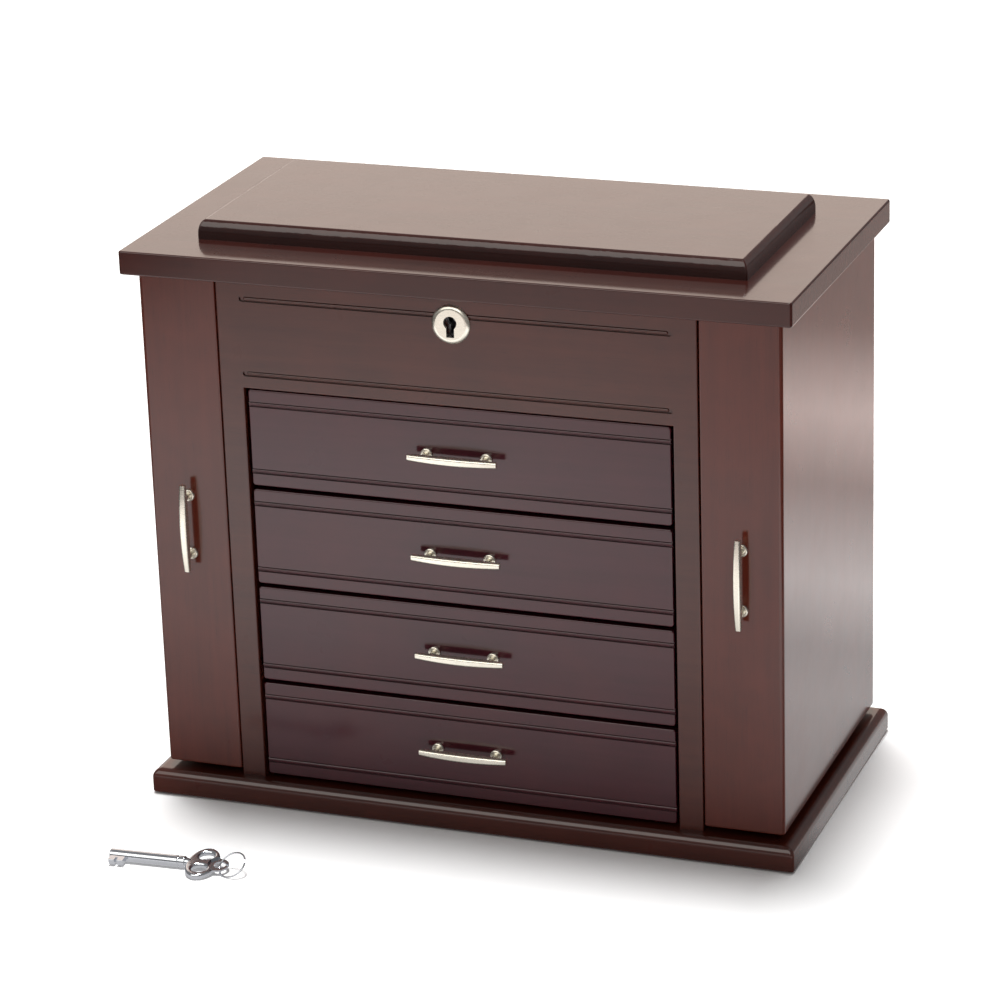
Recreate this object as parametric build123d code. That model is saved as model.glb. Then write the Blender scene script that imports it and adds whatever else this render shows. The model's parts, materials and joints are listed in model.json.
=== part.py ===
"""Table-top jewelry armoire: four drawers, two swing-out necklace wings, a lift-up lid with a mirror,
a chest lock, and its loose key.

Frame: +Z up, +X to the viewer's right, the front faces -Y. The origin is the centre of the underside.
Millimetres throughout.
"""
import math
import os

from build123d import *

# ---------------------------------------------------------------- driving dimensions
BASE_W, BASE_D = 354.0, 188.4        # moulded base, over everything
FELT_T = 0.8                         # felt sheet under the base
BASE_TOP = 13.6                      # upper face of the base board
BODY_W = 340.0                       # over the closed wings
BODY_FRONT, BODY_BACK = -86.0, 89.4  # front and back planes of the body
BODY_TOP = 287.2                     # top edge of the carcass and wings
LID_BOTTOM, LID_TOP = 288.0, 300.5
LID_W, LID_FRONT, LID_BACK = 354.0, -93.2, 93.0
PANEL_T = 9.0                        # face frame, partitions and back panel
FRAME_HALF = 127.3                   # half the width of the face frame
OPENING_HALF = 114.5                 # half the width of the drawer opening
OPENING_TOP = 230.4
DRAWER_COUNT = 4
DRAWER_PITCH = 54.0
FRONT_HALF, FRONT_H, FRONT_T = 112.8, 52.0, 8.0   # one drawer front
FRONT_RECESS = 1.0                   # drawer fronts sit this far behind the face frame
FIRST_FRONT_Z = 15.6                 # lower edge of the lowest drawer front
FLUTE_W, FLUTE_DEPTH = 3.0, 1.0      # decorative flutes in the fronts
BEAD_R, BEAD_SUNK = 0.95, 0.25       # round bead along the middle of each flute
FLUTE_Z = (278.0, 238.3)             # the two flutes of the false drawer front above the drawers
FLUTE_INSET = 7.9                    # from the upper and lower edges of a drawer front
WING_T = 8.0                         # wing's side panel
WING_BOTTOM = 16.8
WING_GAP = 0.6                       # between face frame and wing
HANDLE_PITCH = 32.0                  # between the two screws of a pull
WING_HANDLE_Z = 153.0
PILOT_R = 1.5                        # screw hole through a board
LINING_T = 1.2                       # velvet-wrapped lining of the drawers and the tray
CLOTH_T = 1.0                        # velvet of the wings and their bays

# tray under the lid
TRAY_FLOOR_Z, TRAY_FLOOR_T = 231.0, 4.0
TRAY_RIM = 283.0
DIVIDER_T, DIVIDER_H = 2.6, 24.0
DIVIDER_X = (-34.0, 42.0)
CROSS_Y = (-20.0, 30.0)
CROSS_RIGHT_Y = 6.0
ROLL_COUNT, ROLL_R, ROLL_GAP = 12, 6.0, 0.3
ROLL_SUNK, ROLL_EASE = 0.6, 2.0

# drawers and their runners
RUNNER_H, RUNNER_REACH = 5.4, 5.4
RUNNER_Y = (-70.0, 78.0)
SIDE_OUT, SIDE_T = 112.5, 7.0        # drawer box side: outer face and thickness
GROOVE_H, SIDE_GROOVE = 6.0, 3.4     # groove that rides on the runner
BOX_LIFT, BOX_H = 2.0, 44.0          # the box within the height of its front
BOX_BACK = 74.0
BOX_FLOOR_T = 3.0

# magnet catches of the wings
CATCH_Z = (40.0, 264.0)
CATCH_GAP = 1.1                      # magnet housing behind the face frame's rear plane
CATCH_W, CATCH_REACH, CATCH_HALF = 10.0, 14.0, 7.0
MAGNET_R, MAGNET_T = 4.0, 3.0
CATCH_PLATE_W, CATCH_PLATE_T, CATCH_PLATE_HALF = 10.0, 0.7, 6.0

# inside of the wings
HOOK_COUNT = 6
HOOK_Z, HOOK_REACH = 266.0, 14.0
HOOK_R, HOOK_SEAT, RAIL_T = 0.9, 4.0, 6.0
HOOK_ARM, HOOK_LEAN = 6.0, 35.0      # upturned end and its lean from the vertical
RAIL_Y, RAIL_BELOW, RAIL_ABOVE = (-66.0, 68.0), 7.0, 6.0
POUCH_Y, POUCH_Z, POUCH_DEPTH = (-64.0, 66.0), (24.0, 96.0), 12.0
POUCH_WALL, POUCH_HEM = 1.6, 3.0

# ---------------------------------------------------------------- derived dimensions
HALF_BODY = BODY_W / 2
FRAME_BACK = BODY_FRONT + PANEL_T            # rear plane of the face frame
BACK_INNER = BODY_BACK - PANEL_T             # inner plane of the back panel
PARTITION_IN = 115.0                         # inner face of each partition
PARTITION_OUT = PARTITION_IN + PANEL_T
BACK_HALF = 160.0                            # half the width of the back panel
WING_IN = HALF_BODY - WING_T                 # inner face of a wing's side panel
WING_EDGE = FRAME_HALF + WING_GAP            # free edge of a wing's front panel
TRAY_BASE = TRAY_FLOOR_Z + TRAY_FLOOR_T + LINING_T   # surface of the lined tray floor

# hinges: three-knuckle butts
PIN_R, BORE_R, KNUCKLE_R = 0.95, 1.0, 2.0
LEAF_T, LEAF_REACH, HINGE_LEN = 0.8, 8.0, 25.0
KNUCKLE_GAP = 0.3
LEAF_CLEAR = KNUCKLE_R + 0.35                # pin centre to the nearest edge of a leaf
LID_PIN_Y, LID_PIN_Z = LID_BACK + 0.2, LID_BOTTOM + 0.6
LID_HINGE_X = (-92.0, 92.0)
WING_PIN_X, WING_PIN_Y = (BACK_HALF + WING_IN) / 2, BODY_BACK + LEAF_CLEAR
WING_HINGE_Z = (62.0, 238.0)

# lock
KEYHOLE_Z = 274.7
KEYHOLE_R, SLOT_HALF, SLOT_BOTTOM = 3.5, 2.1, 267.2
CASE_HALF, CASE_Z = 15.0, (256.0, 286.4)
CASE_Y = (-81.0, -73.0)
PLATE_HALF, PLATE_FRONT = 22.0, -82.0         # lock's top plate
STAPLE_X, STAPLE_Y = (-6.0, 6.0), (-79.9, -76.1)
STAPLE_T, STAPLE_BAR = 1.6, 0.8
STRIKE_HALF, STRIKE_SUNK = 17.0, 0.3

BOLT_Y = (-75.9, -74.4)              # the sliding plate; its travel is 4 mm along X
CLAW_Y, CLAW_Z = (-78.8, -77.2), (280.4, 283.9)
STAPLE_ROOM = 0.6                             # clearance of the staples in the case
STRIKE_DROP = 0.5                             # strike plate below the lid
CASE_WALL = 1.0
GUIDE_PIN_R = 1.1                             # pin that a hollow key turns on
BOLT_X, CLAW_X = (-13.0, 9.0), (-13.0, -1.0)
CLAW_STEM, CLAW_REACH = 2.0, 6.6
ESCUTCHEON_R, ESCUTCHEON_FLAT, ESCUTCHEON_T = 10.1, 7.9, 1.8
ESCUTCHEON_Z = 273.7

# lid
RAISED_HALF, RAISED_FRONT, RAISED_BACK = 146.0, -62.8, 61.0
RAISED_H, EDGE_STEP = 9.8, 2.4
EDGE_RUN = 3.6                        # how far the moulded edge runs in
MIRROR_HALF, MIRROR_Y, MIRROR_T = 95.0, (-57.0, 57.0), 3.2
MOULDING, MOULDING_H, MOULDING_LIP = 12.0, 4.6, 2.5   # frame round the mirror

# pulls
BAR_LENGTH, BAR_BACK = 47.5, 5.8          # length, and clearance behind the bar
BAR_MID, BAR_END = 10.2, 8.3              # height of the bowed front at the middle and the ends
BAR_HALF_MID, BAR_HALF_END = 1.9, 1.5     # half thickness across the bar
POST_R, COLLAR_R = 1.5, 3.2
SCREW_R, HEAD_R, HEAD_T = 1.1, 2.8, 1.6

# key
KEY_TIP = (-163.0, -175.2)           # where the key's tip lies on the table, in plan
KEY_HEADING = 3.2                    # degrees from +X to the key's bow
BARREL_R, BARREL_LENGTH = 3.0, 40.0
BOW_T, BOW_EASE = 3.0, 1.3
BOW_REACH = 13.4                     # from the key's axis to the rim of the bow
LOBE_Y, LOBE_HOLE = 5.9, (4.0, 3.5)  # the two large openings of the bow
BIT_X, BIT_Y = (1.2, 9.0), -7.2
BIT_NOTCH_X, BIT_NOTCH_Y = (4.4, 5.8), -4.6
RING_R, WIRE_R = 7.4, 0.42
RING_TILT, RING_RISE = 32.0, 16.0
EYE = 59.6                           # from the tip to the small eye at the end of the bow
EYE_R, EYE_RIM, EYE_T = 3.1, 6.2, 0.9   # hole, and the thinned disc round it

SHAPES = {}


def node(name, *solids):
    """Files one sub-part under its name."""
    SHAPES[name] = solids[0] if len(solids) == 1 else Compound(children=list(solids))


def block(x0, x1, y0, y1, z0, z1):
    """A box from its lowest to its highest corner."""
    return Pos((x0 + x1) / 2, (y0 + y1) / 2, (z0 + z1) / 2) * Box(x1 - x0, y1 - y0, z1 - z0)


def rod(axis, centre, length, radius):
    """A cylinder of that length, centred on centre, along X, Y or Z."""
    turn = {"X": Rot(0, 90, 0), "Y": Rot(90, 0, 0), "Z": Rot(0, 0, 0)}[axis]
    return Pos(*centre) * turn * Cylinder(radius, length)


def eased(shape, radius, keep=lambda edge: True):
    """The shape with the chosen edges rounded over."""
    return fillet([edge for edge in shape.edges() if keep(edge)], radius)


def mirrored(shape):
    """The same piece on the other side of the YZ plane."""
    return mirror(shape, about=Plane.YZ)


def on_side(side, shape):
    """Right-hand shapes are drawn; the left-hand ones are their mirror image."""
    return shape if side > 0 else mirrored(shape)


def bottom_z(number):
    """Lower edge of a drawer front; drawer 1 is the top one."""
    return FIRST_FRONT_Z + (DRAWER_COUNT - number) * DRAWER_PITCH


# ---------------------------------------------------------------- pulls


def pull_bar():
    """Bowed bar, straight at the back and curved at the front, lying along X above the XY plane."""
    half = BAR_LENGTH / 2
    side_view = make_face(
        Curve() + [
            Line((-half, BAR_BACK), (half, BAR_BACK)),
            Line((half, BAR_BACK), (half, BAR_END)),
            ThreePointArc((half, BAR_END), (0, BAR_MID), (-half, BAR_END)),
            Line((-half, BAR_END), (-half, BAR_BACK)),
        ]
    )
    plan = make_face(
        Curve() + [
            ThreePointArc((-half, -BAR_HALF_END), (0, -BAR_HALF_MID), (half, -BAR_HALF_END)),
            Line((half, -BAR_HALF_END), (half, BAR_HALF_END)),
            ThreePointArc((half, BAR_HALF_END), (0, BAR_HALF_MID), (-half, BAR_HALF_END)),
            Line((-half, BAR_HALF_END), (-half, -BAR_HALF_END)),
        ]
    )
    width = Rot(90, 0, 0) * extrude(side_view, 2 * BAR_HALF_MID, both=True)
    bar = width & extrude(plan, 2 * BAR_MID)
    front_edges = bar.edges().filter_by(lambda e: e.center().Z > BAR_END - 0.2 and e.length > half)
    bar = fillet(front_edges, 1.0)
    return eased(bar, 0.45, lambda e: e.center().Z < BAR_BACK + 0.1 and e.length > half)


def pull_post(x):
    """Turned post with a cupped collar, bored for its screw."""
    outline = make_face(
        Curve() + [
            Line((0, 0), (COLLAR_R, 0)),
            Line((COLLAR_R, 0), (COLLAR_R, 0.5)),
            ThreePointArc((COLLAR_R, 0.5), (COLLAR_R - 0.45, 1.35), (COLLAR_R - 1.1, 1.2)),
            ThreePointArc((COLLAR_R - 1.1, 1.2), (POST_R + 0.2, 1.15), (POST_R, 1.6)),
            Line((POST_R, 1.6), (POST_R, BAR_BACK)),
            Line((POST_R, BAR_BACK), (0, BAR_BACK)),
            Line((0, BAR_BACK), (0, 0)),
        ]
    )
    turned = revolve(Rot(90, 0, 0) * outline, axis=Axis.Z)
    return Pos(x, 0, 0) * (turned - Pos(0, 0, 1.8) * Cylinder(SCREW_R + 0.1, 3.6))


def pull_screw(x, board):
    """Pan-head screw from behind a board into the post."""
    head = Pos(0, 0, -board - HEAD_T / 2) * Cylinder(HEAD_R, HEAD_T)
    head = eased(head, 0.5, lambda e: e.center().Z < -board - HEAD_T + 0.01)
    slot = Pos(0, 0, -board - HEAD_T + 0.3) * Box(2 * HEAD_R, 0.7, 0.7)
    shank_length = board + 3.2
    shank = Pos(0, 0, 3.2 - shank_length / 2) * Cylinder(SCREW_R, shank_length)
    return Pos(x, 0, 0) * (head - slot + shank)


def pull(place, board):
    """Bar, two posts and two screws, moved from the XY plane to the board's face."""
    sides = (-HANDLE_PITCH / 2, HANDLE_PITCH / 2)
    pieces = [pull_bar()]
    pieces += [pull_post(x) for x in sides]
    pieces += [pull_screw(x, board) for x in sides]
    return [place * piece for piece in pieces]


# ---------------------------------------------------------------- hinges
def hinge_leaf(fixed, low_x, reach, crank, neck_end):
    """One leaf: the pin is Z, the plate lies towards -Y, from low_x, crank away from the pin."""
    third = HINGE_LEN / 3
    outer = [(-HINGE_LEN / 2, -third / 2 - KNUCKLE_GAP), (third / 2 + KNUCKLE_GAP, HINGE_LEN / 2)]
    spans = outer if fixed else [(-third / 2, third / 2)]
    high_x = low_x + LEAF_T
    leaf = block(low_x, high_x, -crank - reach, -crank, -HINGE_LEN / 2, HINGE_LEN / 2)
    for low, high in spans:
        barrel = Cylinder(KNUCKLE_R, high - low) - Cylinder(BORE_R, high - low)
        leaf = leaf + block(low_x, high_x, -crank, neck_end, low, high)
        leaf = leaf + Pos(0, 0, (low + high) / 2) * barrel
    screws = []
    for z in (-HINGE_LEN / 3, HINGE_LEN / 3):
        centre = ((low_x + high_x) / 2, -crank - reach / 2, z)
        leaf = leaf - rod("X", centre, 2 * LEAF_T, 1.6)
        head = rod("X", centre, LEAF_T - 0.2, 1.5)
        screws.append(head - Pos(*centre) * Box(LEAF_T, 0.5, 2.4) + rod("X", centre, LEAF_T / 3, 1.45))
    return [leaf] + screws


def lid_hinge_place(x):
    """Pin along X, the plate towards -Y, hinge X up."""
    return Pos(x, LID_PIN_Y, LID_PIN_Z) * Rot(0, -90, 0)


def hinges():
    """Fixed leaves and pins on the carcass, moving leaves on the lid and wings."""
    fixed, pins, lid_leaves = [], [], []
    for x in LID_HINGE_X:
        place = lid_hinge_place(x)
        behind = LID_PIN_Y - BODY_BACK
        lower = hinge_leaf(True, BODY_TOP - LEAF_T - LID_PIN_Z, LEAF_REACH, behind, -0.4)
        upper = hinge_leaf(False, LID_BOTTOM - LID_PIN_Z, LEAF_REACH + 1.4, LEAF_CLEAR, -BORE_R - 0.2)
        fixed += [place * piece for piece in lower]
        lid_leaves += [place * piece for piece in upper]
        pins.append(place * Cylinder(PIN_R, HINGE_LEN))
    half_gap = (WING_IN - BACK_HALF) / 2
    for side in (-1, 1):
        leaves = []
        for z in WING_HINGE_Z:
            place = Pos(WING_PIN_X, WING_PIN_Y, z)
            still = hinge_leaf(True, -half_gap, LEAF_REACH, LEAF_CLEAR, -BORE_R - 0.2)
            moving = hinge_leaf(False, half_gap - LEAF_T, LEAF_REACH, LEAF_CLEAR, -BORE_R - 0.2)
            fixed += [on_side(side, place * piece) for piece in still]
            leaves += [on_side(side, place * piece) for piece in moving]
            pins.append(on_side(side, place * Cylinder(PIN_R, HINGE_LEN)))
        node(f"{side_name(side)}_wing_hinge_leaves", *leaves)
    node("fixed_hinge_leaves", *fixed)
    node("hinge_pins", *pins)
    node("lid_hinge_leaves", *lid_leaves)


def side_name(side):
    return "right" if side > 0 else "left"


# ---------------------------------------------------------------- carcass
def base():
    inset = 8.0
    node("base_felt", block(-BASE_W / 2 + inset, BASE_W / 2 - inset,
                            -BASE_D / 2 + inset, BASE_D / 2 - inset, 0, FELT_T))
    board = block(-BASE_W / 2, BASE_W / 2, -BASE_D / 2, BASE_D / 2, FELT_T, BASE_TOP)
    board = eased(board, 1.5, lambda e: abs(e.tangent_at(0.5).Z) > 0.9)
    board = eased(board, 4.5, lambda e: e.center().Z > BASE_TOP - 0.01)
    node("base_board", eased(board, 0.8, lambda e: e.center().Z < FELT_T + 0.01))


def partitions_and_back():
    for side in (-1, 1):
        wall = block(PARTITION_IN, PARTITION_OUT, FRAME_BACK, BACK_INNER, BASE_TOP, BODY_TOP)
        node(f"{side_name(side)}_partition", on_side(side, wall))
    back = block(-BACK_HALF, BACK_HALF, BACK_INNER, BODY_BACK, BASE_TOP, BODY_TOP)
    for x in LID_HINGE_X:
        back = back - block(x - HINGE_LEN / 2, x + HINGE_LEN / 2, BODY_BACK - LEAF_REACH,
                            BODY_BACK, BODY_TOP - LEAF_T, BODY_TOP)
    node("back_panel", back)


def flute(half_length, y, z, stopped):
    """Cutter for a sunk bead along X in a face that looks towards -Y, with round ends where it is stopped."""
    half = FLUTE_W / 2
    channel = block(-half_length, half_length, y - 1, y + FLUTE_DEPTH, z - half, z + half)
    bead_half = half_length
    if stopped:
        channel = eased(channel, half * 0.98, lambda e: abs(e.tangent_at(0.5).Y) > 0.9)
        bead_half = half_length - FLUTE_W
    bead_y = y + BEAD_SUNK + BEAD_R
    bead = rod("X", (0, bead_y, z), 2 * bead_half, BEAD_R)
    if stopped:
        bead = bead + Pos(-bead_half, bead_y, z) * Sphere(BEAD_R) + Pos(bead_half, bead_y, z) * Sphere(BEAD_R)
    return channel - bead


def keyhole(y0, y1, grow=0.0):
    """Cutter for the keyhole, through a wall from y0 to y1."""
    middle, depth = (y0 + y1) / 2, y1 - y0
    slot = block(-SLOT_HALF - grow, SLOT_HALF + grow, y0, y1, SLOT_BOTTOM - grow, KEYHOLE_Z)
    return rod("Y", (0, middle, KEYHOLE_Z), depth, KEYHOLE_R + grow) + slot


def face_frame():
    board = block(-FRAME_HALF, FRAME_HALF, BODY_FRONT, FRAME_BACK, BASE_TOP, BODY_TOP)
    opening = block(-OPENING_HALF, OPENING_HALF, BODY_FRONT - 1, FRAME_BACK + 1, BASE_TOP - 1, OPENING_TOP)
    board = board - opening
    front_face_edge = lambda e: e.center().Y < BODY_FRONT + 0.01 and e.center().Z > BASE_TOP + 1
    board = eased(board, 0.7, front_face_edge)
    for z in FLUTE_Z:
        board = board - flute(OPENING_HALF, BODY_FRONT, z, stopped=True)
    board = board + block(-PARTITION_IN, PARTITION_IN, FRAME_BACK, CASE_Y[1],
                          TRAY_FLOOR_Z + TRAY_FLOOR_T, BODY_TOP)
    board = board - block(-CASE_HALF, CASE_HALF, *CASE_Y, CASE_Z[0], BODY_TOP)
    board = board - block(-PLATE_HALF, PLATE_HALF, PLATE_FRONT, CASE_Y[1], CASE_Z[1], BODY_TOP)
    node("face_frame", board - keyhole(BODY_FRONT - 1, CASE_Y[0] + 1, grow=0.6))


def tray():
    """Floor, velvet lining, dividers and ring rolls under the lid."""
    node("tray_floor", block(-PARTITION_IN, PARTITION_IN, FRAME_BACK, BACK_INNER,
                             TRAY_FLOOR_Z, TRAY_FLOOR_Z + TRAY_FLOOR_T))
    x_in, y_front, y_back = PARTITION_IN - LINING_T, CASE_Y[1] + LINING_T, BACK_INNER - LINING_T
    outer = block(-PARTITION_IN, PARTITION_IN, CASE_Y[1], BACK_INNER, TRAY_BASE - LINING_T, TRAY_RIM)
    hollow = block(-x_in, x_in, y_front, y_back, TRAY_BASE, TRAY_RIM + 1)
    node("tray_lining", outer - hollow)
    half = DIVIDER_T / 2
    height = (TRAY_BASE, TRAY_BASE + DIVIDER_H)
    solids = [block(x - half, x + half, y_front, y_back, *height) for x in DIVIDER_X]
    for y in CROSS_Y:
        solids.append(block(DIVIDER_X[0] + half, DIVIDER_X[1] - half, y - half, y + half, *height))
    solids.append(block(DIVIDER_X[1] + half, x_in, CROSS_RIGHT_Y - half, CROSS_RIGHT_Y + half, *height))
    node("tray_dividers", *solids)
    node("ring_rolls", *[ring_roll(y_front, y_back, index) for index in range(ROLL_COUNT)])


def ring_roll(y_front, y_back, index):
    """One padded roll along X, with rounded ends, flat where it rests."""
    x0 = -PARTITION_IN + LINING_T + ROLL_GAP
    x1 = DIVIDER_X[0] - DIVIDER_T / 2 - ROLL_GAP
    pitch = (y_back - y_front) / ROLL_COUNT
    y = y_front + pitch * (index + 0.5)
    roll = rod("X", ((x0 + x1) / 2, y, TRAY_BASE + ROLL_R - ROLL_SUNK), x1 - x0, ROLL_R - ROLL_GAP / 2)
    roll = eased(roll, ROLL_EASE)
    return roll - block(x0, x1, y - ROLL_R, y + ROLL_R, TRAY_BASE - ROLL_R, TRAY_BASE + 0.05)


def runner_z(number):
    return bottom_z(number) + BOX_LIFT + BOX_H / 2


def runners():
    strips = []
    for number in range(1, DRAWER_COUNT + 1):
        middle = runner_z(number)
        strip = block(PARTITION_IN - RUNNER_REACH, PARTITION_IN, *RUNNER_Y,
                      middle - RUNNER_H / 2, middle + RUNNER_H / 2)
        strips += [strip, mirrored(strip)]
    node("drawer_runners", *strips)


def wing_bays():
    """Velvet on the outer faces of the partitions, and the magnet catches for the wings."""
    sheets, catches = [], []
    face = PARTITION_OUT
    front = FRAME_BACK + CATCH_GAP
    rear = front + CATCH_W
    for side in (-1, 1):
        sheet = block(face, face + CLOTH_T, FRAME_BACK, BACK_INNER, BASE_TOP, BODY_TOP - 1)
        for z in CATCH_Z:
            room = CATCH_HALF + 1
            sheet = sheet - block(face, face + 2 * CLOTH_T, FRAME_BACK, rear, z - room, z + room)
        sheets.append(on_side(side, sheet))
        for z in CATCH_Z:
            housing = block(face, face + CATCH_REACH, front, rear, z - CATCH_HALF, z + CATCH_HALF)
            housing = eased(housing, 1.0, lambda e: abs(e.tangent_at(0.5).Y) > 0.9
                            and e.center().X > face + CATCH_REACH / 2)
            centre = (face + CATCH_REACH - MAGNET_R - 1.5, front + MAGNET_T / 2, z)
            catches.append(on_side(side, housing - rod("Y", centre, MAGNET_T, MAGNET_R)))
            catches.append(on_side(side, rod("Y", centre, MAGNET_T, MAGNET_R)))
    node("bay_linings", *sheets)
    node("magnet_catches", *catches)


# ---------------------------------------------------------------- lock
def lock():
    x0, x1 = -CASE_HALF, CASE_HALF
    case = block(x0, x1, *CASE_Y, *CASE_Z)
    case = case - block(x0 + CASE_WALL, x1 - CASE_WALL, CASE_Y[0] + CASE_WALL, CASE_Y[1] - CASE_WALL,
                        CASE_Z[0] + CASE_WALL, CASE_Z[1] - CASE_WALL)
    case = case + block(-PLATE_HALF, PLATE_HALF, PLATE_FRONT, CASE_Y[1], CASE_Z[1], BODY_TOP)
    case = case - keyhole(CASE_Y[0] - 1, CASE_Y[0] + 1.5)
    for x in STAPLE_X:
        case = case - block(x - STAPLE_ROOM, x + STAPLE_T + STAPLE_ROOM, STAPLE_Y[0] - STAPLE_ROOM - 0.1,
                            STAPLE_Y[1] + STAPLE_ROOM + 0.5, CASE_Z[1] - 2, BODY_TOP + 1)
    case = case + rod("Y", (0, sum(CASE_Y) / 2, KEYHOLE_Z), CASE_Y[1] - CASE_Y[0] - 1.8, GUIDE_PIN_R)
    node("lock_case", case)
    node("lock_bolt", *bolt())
    node("lock_escutcheon", escutcheon())
    node("lock_strike", *strike())




def bolt():
    """Sliding plate behind the staples, with two claws that enter their windows."""
    front, rear = BOLT_Y
    solids = [block(*BOLT_X, front, rear, CLAW_Z[0] - 1.2, CLAW_Z[1] + 0.5)]
    for x in CLAW_X:
        solids.append(block(x, x + CLAW_STEM, CLAW_Y[0], front, *CLAW_Z))
        solids.append(block(x + CLAW_STEM, x + CLAW_REACH, *CLAW_Y, *CLAW_Z))
    return solids


def strike():
    """Plate under the lid with two staples that drop into the lock case."""
    low = LID_BOTTOM - STRIKE_DROP
    plate = block(-STRIKE_HALF, STRIKE_HALF, PLATE_FRONT, CASE_Y[1], low, LID_BOTTOM + STRIKE_SUNK)
    for x in (-STRIKE_HALF + 4, STRIKE_HALF - 4):
        plate = plate - rod("Z", (x, sum(STAPLE_Y) / 2, LID_BOTTOM), 4, SCREW_R)
    solids = [plate]
    front, rear = STAPLE_Y
    bottom = CLAW_Z[0] - 0.4
    for x in STAPLE_X:
        end = x + STAPLE_T
        solids.append(block(x, end, front, front + STAPLE_BAR, bottom - 1, low))
        solids.append(block(x, end, rear - STAPLE_BAR, rear, bottom - 1, low))
        solids.append(block(x, end, front + STAPLE_BAR, rear - STAPLE_BAR, bottom - 1, bottom))
    return solids




def escutcheon():
    """Round plate with a dished bevel round a flat centre."""
    outline = make_face(
        Curve() + [
            Line((0, 0), (ESCUTCHEON_R, 0)),
            Line((ESCUTCHEON_R, 0), (ESCUTCHEON_R, 0.5)),
            ThreePointArc((ESCUTCHEON_R, 0.5), (ESCUTCHEON_R - 0.9, 1.35), (ESCUTCHEON_FLAT, ESCUTCHEON_T)),
            Line((ESCUTCHEON_FLAT, ESCUTCHEON_T), (0, ESCUTCHEON_T)),
            Line((0, ESCUTCHEON_T), (0, 0)),
        ]
    )
    disc = revolve(Rot(90, 0, 0) * outline, axis=Axis.Z)
    disc = Pos(0, BODY_FRONT, ESCUTCHEON_Z) * Rot(90, 0, 0) * disc
    return disc - keyhole(BODY_FRONT - 4, BODY_FRONT + 1)


# ---------------------------------------------------------------- lid


def moulded_profile(low, high):
    """Section of the raised panel: a short upright edge, then a quarter ellipse to the top."""
    top, rise = RAISED_H, RAISED_H - EDGE_STEP
    return make_face(
        Curve() + [
            Line((low, 0), (high, 0)),
            Line((high, 0), (high, EDGE_STEP)),
            EllipticalCenterArc((high - EDGE_RUN, EDGE_STEP), EDGE_RUN, rise, start_angle=0, arc_size=90),
            Line((high - EDGE_RUN, top), (low + EDGE_RUN, top)),
            EllipticalCenterArc((low + EDGE_RUN, EDGE_STEP), EDGE_RUN, rise, start_angle=90, arc_size=90),
            Line((low, EDGE_STEP), (low, 0)),
        ]
    )


def raised_panel():
    """Two moulded sections crossed, so that the edges meet in mitres."""
    along_y = extrude(Plane.XZ * moulded_profile(-RAISED_HALF, RAISED_HALF), BASE_D, both=True)
    along_x = extrude(Plane.YZ * moulded_profile(RAISED_FRONT, RAISED_BACK), BASE_W, both=True)
    panel = Pos(0, 0, LID_TOP) * (along_y & along_x)
    return eased(panel, 0.9, lambda e: abs(e.tangent_at(0.5).Z) > 0.9)


def lid():
    board = block(-LID_W / 2, LID_W / 2, LID_FRONT, LID_BACK, LID_BOTTOM, LID_TOP)
    board = eased(board, 1.5, lambda e: abs(e.tangent_at(0.5).Z) > 0.9)
    board = eased(board, 0.9, lambda e: True)
    for x in LID_HINGE_X:
        half = HINGE_LEN / 2
        front = LID_PIN_Y - LEAF_CLEAR - LEAF_REACH - 1.4
        board = board - block(x - half, x + half, front, LID_PIN_Y - LEAF_CLEAR,
                              LID_BOTTOM, LID_BOTTOM + LEAF_T)
        board = board - block(x - half - 0.5, x + half + 0.5, LID_PIN_Y - LEAF_CLEAR, LID_BACK + 1,
                              LID_BOTTOM - 1, LID_PIN_Z + LEAF_CLEAR)
    board = board - block(-STRIKE_HALF, STRIKE_HALF, PLATE_FRONT, CASE_Y[1],
                          LID_BOTTOM, LID_BOTTOM + STRIKE_SUNK)
    node("lid_board", board)
    node("lid_raised_panel", raised_panel())
    front, back = MIRROR_Y
    lip, reach, fit = MOULDING_LIP, MOULDING - MOULDING_LIP, 0.2
    low = LID_BOTTOM - MOULDING_H
    frame = block(-MIRROR_HALF - reach, MIRROR_HALF + reach, front - reach, back + reach, low, LID_BOTTOM)
    frame = eased(frame, 2.4, lambda e: e.center().Z < low + 0.1)
    window = block(-MIRROR_HALF + lip, MIRROR_HALF - lip, front + lip, back - lip, low - 1, LID_BOTTOM)
    rebate = block(-MIRROR_HALF - fit, MIRROR_HALF + fit, front - fit, back + fit,
                   LID_BOTTOM - MIRROR_T, LID_BOTTOM)
    node("lid_mirror_frame", frame - window - rebate)
    node("lid_mirror", block(-MIRROR_HALF, MIRROR_HALF, front, back, LID_BOTTOM - MIRROR_T, LID_BOTTOM))


# ---------------------------------------------------------------- wings
def wing_shell():
    """Side and front panels of the right wing as one L, with the edges rounded over."""
    shell = block(WING_IN, HALF_BODY, BODY_FRONT, BODY_BACK, WING_BOTTOM, BODY_TOP)
    shell = shell + block(WING_EDGE, HALF_BODY, BODY_FRONT, FRAME_BACK, WING_BOTTOM, BODY_TOP)

    def outer_corner(e):
        return abs(e.tangent_at(0.5).Z) > 0.9 and e.center().X > HALF_BODY - 0.1

    def outside_face(e):
        c = e.center()
        return abs(e.tangent_at(0.5).Z) < 0.1 and (c.X > HALF_BODY - 0.1 or c.Y < BODY_FRONT + 0.1)

    shell = eased(shell, 2.2, outer_corner)
    free_edge = lambda e: e.center().X < WING_EDGE + 0.1 and e.center().Y < BODY_FRONT + 0.1
    shell = eased(shell, 1.0, lambda e: free_edge(e) and abs(e.tangent_at(0.5).Z) > 0.9)
    return eased(shell, 1.0, outside_face)


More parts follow.
